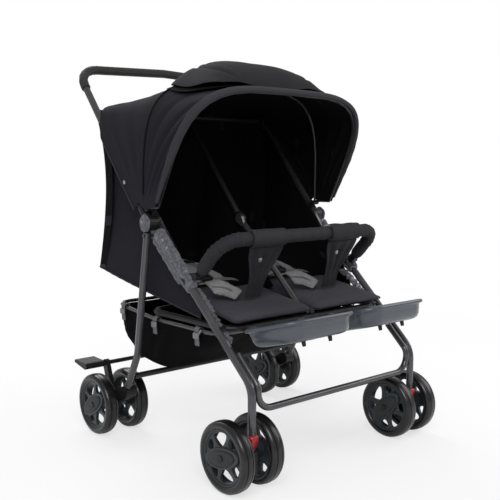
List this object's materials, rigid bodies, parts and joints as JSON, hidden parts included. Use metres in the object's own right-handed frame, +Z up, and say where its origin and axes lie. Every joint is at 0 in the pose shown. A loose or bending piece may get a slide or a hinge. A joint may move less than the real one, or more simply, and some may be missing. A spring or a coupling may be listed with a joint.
{
  "type": "double stroller",
  "caption": "Side-by-side double stroller with folding tube frame, twin swivel wheels, reclining backs, drop-down leg trays, bumper bar, basket and wide canopy.",
  "frame": {"origin": "centre of the footprint on the floor, under the middle of the overall box", "axes": "+Z up, -Y is the way the children face, +Y is towards the handle, +X is the children's left side"},
  "size_m": [0.7286, 0.8328, 1.0237],
  "materials": {
    "frame_tube": "satin graphite powder coat on steel tube",
    "bow_wire": "satin black coated steel wire",
    "grip_foam": "fine-celled matte foam",
    "black_plastic": "fine-grained moulded plastic",
    "hub_plastic": "satin moulded plastic",
    "red_plastic": "smooth red moulded plastic",
    "tray_plastic": "blue-grey moulded plastic with a soft sheen",
    "tyre": "matte black foam rubber",
    "black_cloth": "woven black polyester, padded in places",
    "grey_cloth": "heather grey padded knit",
    "canopy_cloth": "woven black nylon with a faint violet tone"
  },
  "bodies": {
    "front_frame": {"front_leg_left": "frame_tube", "front_leg_right": "frame_tube", "front_cross_tube": "frame_tube", "hinge_plate_left": "frame_tube", "hinge_plate_right": "frame_tube", "centre_tube_lower": "frame_tube", "seat_frame": "frame_tube", "seat_left": "black_cloth", "seat_right": "black_cloth", "bumper_socket_left": "black_plastic", "bumper_socket_right": "black_plastic", "basket": "black_cloth", "basket_rim": "frame_tube", "seat_enclosure": "black_cloth", "seat_divider": "black_cloth"},
    "handle": {"handle_tube": "frame_tube", "handle_grip": "grip_foam", "handle_knuckle_left": "black_plastic", "handle_knuckle_right": "black_plastic", "centre_tube_upper": "frame_tube", "canopy_rear": "canopy_cloth"},
    "rear_frame": {"rear_leg_left": "frame_tube", "rear_leg_right": "frame_tube", "rear_cross_tube": "frame_tube", "rear_bracket_left": "black_plastic", "rear_bracket_right": "black_plastic"},
    "brake": {"brake_bar": "black_plastic"},
    "canopy_mid": {"canopy_bow_mid": "bow_wire", "canopy_scoop": "canopy_cloth"},
    "canopy_front_bow": {"canopy_bow_front": "bow_wire", "canopy_front": "canopy_cloth"},
    "bumper": {"bumper_bar": "black_cloth", "crotch_left": "black_cloth", "crotch_right": "black_cloth"},
    "back_left": {"backrest_left": "black_cloth", "seat_pad_left": "grey_cloth"},
    "back_right": {"backrest_right": "black_cloth", "seat_pad_right": "grey_cloth"},
    "tray_left": {"leg_tray_left": "tray_plastic"},
    "tray_right": {"leg_tray_right": "tray_plastic"},
    "caster_left": {"caster_fork_left": "black_plastic"},
    "caster_right": {"caster_fork_right": "black_plastic"},
    "lock_left": {"swivel_lock_left": "red_plastic"},
    "lock_right": {"swivel_lock_right": "red_plastic"},
    "wheel_front_left_inner": {"hub_front_left_inner": "hub_plastic", "tyre_front_left_inner": "tyre"},
    "wheel_front_left_outer": {"hub_front_left_outer": "hub_plastic", "tyre_front_left_outer": "tyre"},
    "wheel_front_right_inner": {"hub_front_right_inner": "hub_plastic", "tyre_front_right_inner": "tyre"},
    "wheel_front_right_outer": {"hub_front_right_outer": "hub_plastic", "tyre_front_right_outer": "tyre"},
    "wheel_rear_left_inner": {"hub_rear_left_inner": "hub_plastic", "tyre_rear_left_inner": "tyre"},
    "wheel_rear_left_outer": {"hub_rear_left_outer": "hub_plastic", "tyre_rear_left_outer": "tyre"},
    "wheel_rear_right_inner": {"hub_rear_right_inner": "hub_plastic", "tyre_rear_right_inner": "tyre"},
    "wheel_rear_right_outer": {"hub_rear_right_outer": "hub_plastic", "tyre_rear_right_outer": "tyre"}
  },
  "joints": [
    {"name": "frame_fold", "type": "hinge", "parent": "front_frame", "child": "handle", "pos_m": [0, 0.04, 0.585], "axis": [1, 0, 0], "range_deg": [0, 120], "deforming": ["seat_enclosure", "seat_divider"]},
    {"name": "rear_leg_fold", "type": "hinge", "parent": "front_frame", "child": "rear_frame", "pos_m": [0, 0.051, 0.5525], "axis": [1, 0, 0], "range_deg": [-40, 0]},
    {"name": "brake_pedal", "type": "hinge", "parent": "rear_frame", "child": "brake", "pos_m": [0, 0.273, 0.182], "axis": [1, 0, 0], "range_deg": [-20, 0]},
    {"name": "canopy_mid_fold", "type": "hinge", "parent": "handle", "child": "canopy_mid", "pos_m": [0, 0.04348, 0.62145], "axis": [1, 0, 0], "range_deg": [-34, 0], "deforming": ["canopy_rear", "canopy_scoop"]},
    {"name": "canopy_front_fold", "type": "hinge", "parent": "canopy_mid", "child": "canopy_front_bow", "pos_m": [0, 0.04348, 0.62145], "axis": [1, 0, 0], "range_deg": [-28, 0], "deforming": ["canopy_front"]},
    {"name": "bumper_swing", "type": "hinge", "parent": "front_frame", "child": "bumper", "pos_m": [0, -0.128, 0.466], "axis": [1, 0, 0], "range_deg": [0, 30], "deforming": ["crotch_left", "crotch_right"]},
    {"name": "recline_left", "type": "hinge", "parent": "front_frame", "child": "back_left", "pos_m": [0, -0.012, 0.402], "axis": [1, 0, 0], "range_deg": [0, 66]},
    {"name": "recline_right", "type": "hinge", "parent": "front_frame", "child": "back_right", "pos_m": [0, -0.012, 0.402], "axis": [1, 0, 0], "range_deg": [0, 66]},
    {"name": "tray_drop_left", "type": "hinge", "parent": "front_frame", "child": "tray_left", "pos_m": [0, -0.252, 0.347], "axis": [1, 0, 0], "range_deg": [0, 75]},
    {"name": "tray_drop_right", "type": "hinge", "parent": "front_frame", "child": "tray_right", "pos_m": [0, -0.252, 0.347], "axis": [1, 0, 0], "range_deg": [0, 75]},
    {"name": "swivel_left", "type": "hinge", "parent": "front_frame", "child": "caster_left", "pos_m": [0.2825, -0.332, 0.0975], "axis": [0, 0, 1], "continuous": true},
    {"name": "swivel_right", "type": "hinge", "parent": "front_frame", "child": "caster_right", "pos_m": [-0.2825, -0.332, 0.0975], "axis": [0, 0, 1], "continuous": true},
    {"name": "lock_left_slide", "type": "slide", "parent": "front_frame", "child": "lock_left", "axis": [0, 0, 1], "range_m": [0, 0.008]},
    {"name": "lock_right_slide", "type": "slide", "parent": "front_frame", "child": "lock_right", "axis": [0, 0, 1], "range_m": [0, 0.008]},
    {"name": "spin_front_left_inner", "type": "hinge", "parent": "caster_left", "child": "wheel_front_left_inner", "pos_m": [0.2394, -0.297, 0.0825], "axis": [1, 0, 0], "continuous": true},
    {"name": "spin_front_left_outer", "type": "hinge", "parent": "caster_left", "child": "wheel_front_left_outer", "pos_m": [0.3256, -0.297, 0.0825], "axis": [1, 0, 0], "continuous": true},
    {"name": "spin_front_right_inner", "type": "hinge", "parent": "caster_right", "child": "wheel_front_right_inner", "pos_m": [-0.2394, -0.297, 0.0825], "axis": [1, 0, 0], "continuous": true},
    {"name": "spin_front_right_outer", "type": "hinge", "parent": "caster_right", "child": "wheel_front_right_outer", "pos_m": [-0.3256, -0.297, 0.0825], "axis": [1, 0, 0], "continuous": true},
    {"name": "spin_rear_left_inner", "type": "hinge", "parent": "rear_frame", "child": "wheel_rear_left_inner", "pos_m": [0.2477, 0.239, 0.0825], "axis": [1, 0, 0], "continuous": true},
    {"name": "spin_rear_left_outer", "type": "hinge", "parent": "rear_frame", "child": "wheel_rear_left_outer", "pos_m": [0.3419, 0.239, 0.0825], "axis": [1, 0, 0], "continuous": true},
    {"name": "spin_rear_right_inner", "type": "hinge", "parent": "rear_frame", "child": "wheel_rear_right_inner", "pos_m": [-0.2477, 0.239, 0.0825], "axis": [1, 0, 0], "continuous": true},
    {"name": "spin_rear_right_outer", "type": "hinge", "parent": "rear_frame", "child": "wheel_rear_right_outer", "pos_m": [-0.3419, 0.239, 0.0825], "axis": [1, 0, 0], "continuous": true}
  ],
  "couplings": [
    {"joint": "rear_leg_fold", "follows": "frame_fold", "ratio": -0.3333},
    {"joint": "canopy_mid_fold", "follows": "frame_fold", "ratio": -0.2833}
  ]
}
